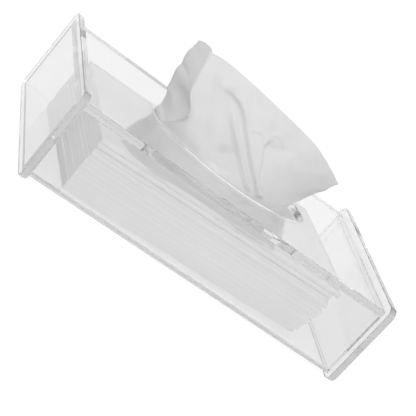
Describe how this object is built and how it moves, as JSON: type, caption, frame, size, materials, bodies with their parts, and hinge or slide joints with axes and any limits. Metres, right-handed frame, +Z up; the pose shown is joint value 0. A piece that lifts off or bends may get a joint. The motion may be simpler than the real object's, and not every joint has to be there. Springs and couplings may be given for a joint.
{
  "type": "tissue box",
  "caption": "Rectangular clear box for folded facial tissues, with an oval dispensing slot in the top and end plates that stand proud of the body.",
  "frame": {"origin": "Centre of the footprint, at table level", "axes": "X along the box, Y from the front panel to the back panel, Z up"},
  "size_m": [0.25, 0.15, 0.1162],
  "materials": {
    "clear_acrylic": "clear cast acrylic with polished edges",
    "tissue": "soft white tissue paper, finely creped"
  },
  "bodies": {
    "root": {"top_panel": "clear_acrylic", "base_panel": "clear_acrylic", "front_panel": "clear_acrylic", "back_panel": "clear_acrylic", "left_end_plate": "clear_acrylic", "right_end_plate": "clear_acrylic", "tissue_stack": "tissue", "raised_tissue": "tissue"}
  },
  "joints": []
}
